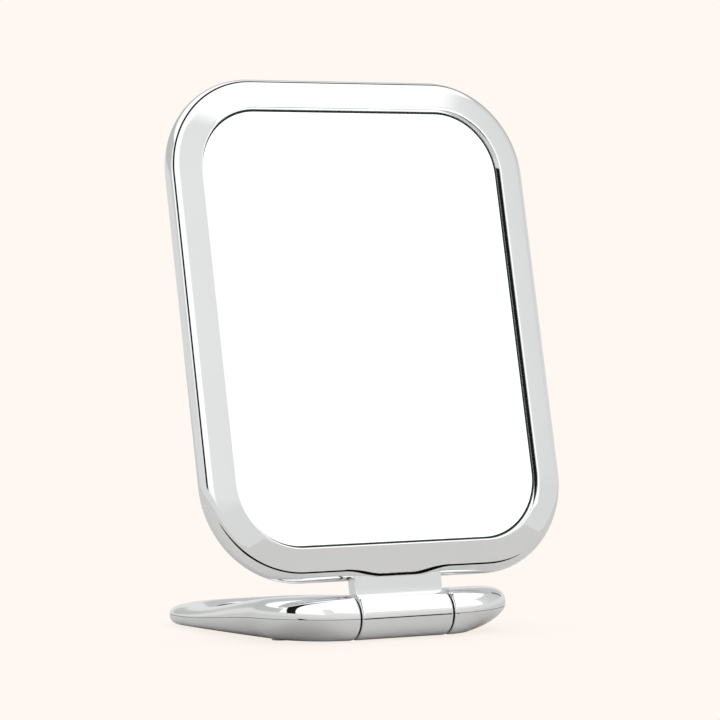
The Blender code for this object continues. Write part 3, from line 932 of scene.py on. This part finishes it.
@dataclass
class Studio:
    """The floor, the light round the object and the camera."""

    paper: tuple[float, float, float] = (1.0, 0.9387, 0.888)
    floor_radius: float = 4.0
    lens: float = 173.0
    shift: tuple[float, float] = (-0.0026, -0.036)
    place: tuple[float, float, float] = (-0.4840, -0.9360, 0.0891)
    azimuth: float = math.radians(-28.1)
    roll: float = math.radians(1.066)
    floor_steps: int = 64
    # Brightness of the painted shadow on the floor at full occlusion, and how far that painted
    # shadow reaches.
    painted_shadow_tone: float = 0.88
    painted_shadow_reach: float = 0.05
    skirting: float = 0.78
    skirting_top: tuple[float, float] = (9.0, 16.0)
    roof: float = 1.25
    roof_from: tuple[float, float] = (40.0, 46.0)
    band: float = 0.012
    band_edge: tuple[float, float] = (0.12, 0.15)
    band_back: tuple[float, float] = (0.42, 0.50)
    band_foot: tuple[float, float] = (10.0, 12.0)
    band_axis: tuple[float, float, float] = (-0.519, 0.850, -0.091)
    card_x: tuple[float, float] = (-0.010, 0.180)
    card_z: tuple[float, float] = (0.052, 0.300)
    card_y: float = -0.145
    card_glow: float = 1.35
    flag_height: float = 0.0005
    flag_ends: tuple[tuple[float, float, float, float], ...] = (
        (0.100, -0.091, 0.100, -0.150), (-0.062, -0.096, -0.050, -0.150),
        (-0.172, -0.163, -0.160, -0.181))

    def make_world(self) -> None:
        """Makes the light round the object: grey walls, a bright roof and a dark band."""
        world = bpy.data.worlds.new("studio")
        bpy.context.scene.world = world
        world.use_nodes = True
        desk = NodeDesk(world.node_tree)
        facing = desk.add("TexCoord").outputs["Generated"]
        parts = desk.add("SeparateXYZ", Vector=facing)
        x, y, z = (parts.outputs[name] for name in "XYZ")
        around = desk.math("DEGREES", desk.math("ARCTAN2", x, desk.math("MULTIPLY", y, -1.0)))
        above = desk.math("DEGREES", desk.math("ARCSINE", z))
        turn = desk.math("DIVIDE", desk.math("ADD", around, 180.0), 360.0)
        wall = desk.add("ValToRGB", Fac=turn)
        self._fill_ramp(wall.color_ramp, (
            (-180, 0.55), (-84, 0.60), (-81, 1.1), (-48, 1.15), (-44, 1.25), (-9, 1.25),
            (-4, 0.88), (9, 0.86), (16, 0.86), (46, 0.95), (50, 0.95), (57, 0.84),
            (75, 0.72), (110, 0.62), (180, 0.55)))
        across = desk.add("VectorMath", {"operation": "DOT_PRODUCT"}, i0=facing,
                          i1=self.band_axis)
        off_band = desk.ease(desk.math("ABSOLUTE", across.outputs["Value"]), *self.band_edge)
        spared = desk.math("MAXIMUM", desk.ease(y, *self.band_back),
                           desk.math("SUBTRACT", 1.0, desk.ease(above, *self.band_foot)))
        open_part = desk.math("MAXIMUM", off_band, spared)
        lit = desk.add("Mix", {"data_type": "RGBA"}, Factor=desk.ease(above, *self.skirting_top),
                       i6=self._grey(self.skirting), i7=wall.outputs["Color"])
        full = desk.add("Mix", {"data_type": "RGBA"}, Factor=desk.ease(above, *self.roof_from),
                        i6=lit.outputs[2], i7=self._grey(self.roof))
        banded = desk.add("Mix", {"data_type": "RGBA"}, Factor=open_part,
                          i6=self._grey(self.band), i7=full.outputs[2])
        seen = desk.add("LightPath").outputs["Is Camera Ray"]
        shown = desk.add("Mix", {"data_type": "RGBA"}, Factor=seen, i6=banded.outputs[2],
                         i7=(*self.paper, 1.0))
        light = desk.add("Background", Color=shown.outputs[2], Strength=1.0)
        desk.add("OutputWorld", Surface=light.outputs[0])

    @staticmethod
    def _grey(bright: float) -> tuple[float, float, float, float]:
        """Gives a neutral colour of a brightness."""
        return bright, bright, bright, 1.0

    @staticmethod
    def _fill_ramp(ramp: bpy.types.ColorRamp, stops: Sequence[tuple[float, float]]) -> None:
        """Sets a ramp over the full turn.

        Args:
            ramp: the ramp.
            stops: pairs of degrees to the right of the front, and brightness.
        """
        while len(ramp.elements) > 1:
            ramp.elements.remove(ramp.elements[-1])
        for number, (degrees, bright) in enumerate(stops):
            where = (degrees + 180.0) / 360.0
            stop = ramp.elements[0] if number == 0 else ramp.elements.new(where)
            stop.position = where
            stop.color = Studio._grey(bright)

    def make_floor(self) -> None:
        """Makes the plain pale floor: camera rays see an even glow with a painted shadow that
        darkens it a little under the object, other rays a plain matt floor.
        """
        desk, material = self._prop_material("studio_paper")
        # Painted shadow: ambient occlusion darkens the glow that the camera sees under and near
        # the object.
        open_sky = desk.add("AmbientOcclusion", {"samples": 8},
                            Distance=self.painted_shadow_reach)
        shadow_darkening = desk.add("MapRange", Value=open_sky.outputs["AO"], From_Min=0.0, From_Max=0.9,
                        To_Min=self.painted_shadow_tone, To_Max=1.0)
        paper = desk.add("VectorMath", {"operation": "SCALE"}, i0=self.paper,
                         Scale=shadow_darkening.outputs["Result"])
        glow = desk.add("Emission", Color=paper.outputs["Vector"], Strength=1.0)
        matt = desk.add("BsdfDiffuse", Color=(0.80, 0.79, 0.775, 1.0))
        seen = desk.add("LightPath").outputs["Is Camera Ray"]
        mixed = desk.add("MixShader", i0=seen, i1=matt.outputs[0], i2=glow.outputs[0])
        desk.add("OutputMaterial", Surface=mixed.outputs[0])
        work = bmesh.new()
        bmesh.ops.create_circle(work, cap_ends=True, radius=self.floor_radius,
                                segments=self.floor_steps)
        self._add_prop("studio_floor", work, material)

    def make_card(self) -> None:
        """Makes the near white card, seen only in the glass."""
        desk, material = self._prop_material("white_card")
        glow = desk.add("Emission", Color=(1.0, 1.0, 1.0, 1.0), Strength=self.card_glow)
        desk.add("OutputMaterial", Surface=glow.outputs[0])
        work = bmesh.new()
        low, high = self.card_z
        edge = work.edges.new([work.verts.new((x, self.card_y, low)) for x in self.card_x])
        push(work, [edge], Vector((0.0, 0.0, high - low)), 1)
        self._seen_in_metal_only(self._add_prop("studio_card", work, material))

    def make_flag(self) -> None:
        """Makes the dark strip on the floor, seen only as a line in the polished rims."""
        desk, material = self._prop_material("black_flag")
        matt = desk.add("BsdfDiffuse", Color=(0.004, 0.004, 0.004, 1.0))
        desk.add("OutputMaterial", Surface=matt.outputs[0])
        work = bmesh.new()
        rails = [[work.verts.new((*end[at:at + 2], self.flag_height)) for end in self.flag_ends]
                 for at in (0, 2)]
        edges = [work.edges.new(pair) for rail in rails for pair in zip(rail, rail[1:])]
        bmesh.ops.bridge_loops(work, edges=edges)
        self._seen_in_metal_only(self._add_prop("studio_flag", work, material))

    @staticmethod
    def _prop_material(name: str) -> tuple[NodeDesk, bpy.types.Material]:
        """Starts the material of a piece of the studio.

        Args:
            name: the material's name.

        Returns:
            The desk for its nodes and the material.
        """
        material = bpy.data.materials.new(name)
        material.use_nodes = True
        return NodeDesk(material.node_tree), material

    @staticmethod
    def _seen_in_metal_only(prop: bpy.types.Object) -> None:
        """Hides a piece of the studio from all but reflections.

        Args:
            prop: the piece.
        """
        prop.visible_camera = False
        prop.visible_diffuse = False
        prop.visible_shadow = False

    @staticmethod
    def _add_prop(name: str, work: bmesh.types.BMesh,
                  material: bpy.types.Material) -> bpy.types.Object:
        """Adds a piece of the studio, which isn't part of the object.

        Args:
            name: its name.
            work: its bmesh, which is freed.
            material: its material.

        Returns:
            The new object.
        """
        mesh = bpy.data.meshes.new(name)
        work.to_mesh(mesh)
        work.free()
        mesh.materials.append(material)
        prop = bpy.data.objects.new(name, mesh)
        bpy.context.scene.collection.objects.link(prop)
        return prop

    def make_camera(self) -> None:
        """Puts the camera level, in front and to the object's left."""
        data = bpy.data.cameras.new("studio_camera")
        data.lens = self.lens
        data.shift_x, data.shift_y = self.shift
        camera = bpy.data.objects.new("studio_camera", data)
        bpy.context.scene.collection.objects.link(camera)
        turned = Matrix.Rotation(self.azimuth, 4, "Z") @ Matrix.Rotation(QUARTER, 4, "X")
        camera.matrix_world = (Matrix.Translation(self.place) @ turned
                               @ Matrix.Rotation(-self.roll, 4, "Z"))
        bpy.context.scene.camera = camera

    def build(self) -> None:
        """Makes the whole studio."""
        self.make_world()
        self.make_floor()
        self.make_card()
        self.make_flag()
        self.make_camera()
        bpy.context.scene.view_settings.view_transform = "Standard"
        bpy.context.scene.view_settings.look = "None"


# --------------------------------------------------------------------------- object


class ShavingMirror:
    """Builds every piece of the object and dresses the CAD nodes that stay."""

    lean = math.radians(11.6)
    kept = {
        "backing_pad": FOAM, "chassis_plate": CHASSIS, "left_bush": ACETAL,
        "right_bush": ACETAL, "hinge_pin": STEEL, "left_friction_washer": NYLON,
        "right_friction_washer": NYLON, "left_knuckle_plug": ZINC, "right_knuckle_plug": ZINC,
        "cup_spring_1": STEEL, "cup_spring_2": STEEL, "pin_nut": STEEL,
    }

    def __init__(self, frame: dict[str, Any]) -> None:
        """Reads the hinge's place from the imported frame.
        """
        self.nodes = frame["nodes"]
        self.hinge = Vector(frame["joints"][0]["pos_m"])
        self.materials = {finish.name: finish.make() for finish in (
            CHROME, SILVER, GLASS_EDGE, GAP_SHADE_FILL, COVER, CHASSIS, STEEL, ZINC, ACETAL, NYLON, FOAM,
            SILICONE)}
        self.head_place = Matrix.Translation(self.hinge) @ Matrix.Rotation(-self.lean, 4, "X")

    def build_head(self) -> None:
        """Builds the pieces that turn with the mirror."""
        head, lug = MirrorHead(), HingeLug()
        jobs = (
            ("polished_frame", head.build_frame(), (CHROME,), ("mirror_frame",), 40.0),
            ("bevelled_glass", head.build_glass(), (SILVER, GLASS_EDGE), ("mirror_glass",), 20.0),
            # A near-black strip in the gap round the glass, which paints the gap's shade.
            ("painted_gap_shade_strip", head.build_gap_shade_strip(), (GAP_SHADE_FILL,), (), 30.0),
            ("pressed_back_cover", head.build_cover(), (COVER,), ("back_cover",), 30.0),
            ("polished_lug", lug.build(), (CHROME,), ("hinge_lug",), 25.0),
        )
        for name, work, finishes, nodes, sharp in jobs:
            place_piece(name, work, finishes, HEAD_BODY, nodes, self.materials, sharp,
                        self.head_place)

    def build_stand(self) -> None:
        """Builds the loop's shells and feet."""
        stand = LoopStand(hinge_y=self.hinge.y / MM)
        for half, word in ((ShellHalf.UPPER, "upper"), (ShellHalf.LOWER, "lower")):
            place_piece(f"polished_{word}_shell", stand.build_shell(half), (CHROME,), STAND_BODY,
                        (f"loop_{word}_shell",), self.materials, 40.0)
        for corner in ("front_left", "front_right", "back_left", "back_right"):
            low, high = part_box(f"{corner}_foot")
            middle = (low + high) / 2
            place_piece(f"soft_{corner}_foot", stand.build_foot(middle.x, middle.y), (SILICONE,),
                        STAND_BODY, (f"{corner}_foot",), self.materials)

    def dress_kept_nodes(self) -> None:
        """Gives every CAD node that stays its own finish."""
        for name, node in self.nodes.items():
            if node.hide_render:
                continue
            finish = STEEL if name.endswith("_screw") else self.kept[name]
            node.data.materials.clear()
            node.data.materials.append(self.materials[finish.name])
            LOG.info("%s: dressed in %s", name, finish.name)


def main() -> None:
    """Builds the object, then the studio."""
    logging.basicConfig(level=logging.INFO, format="%(message)s")
    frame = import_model()
    mirror = ShavingMirror(frame)
    mirror.build_head()
    mirror.build_stand()
    mirror.dress_kept_nodes()
    Studio().build()


if __name__ == "__main__":
    main()
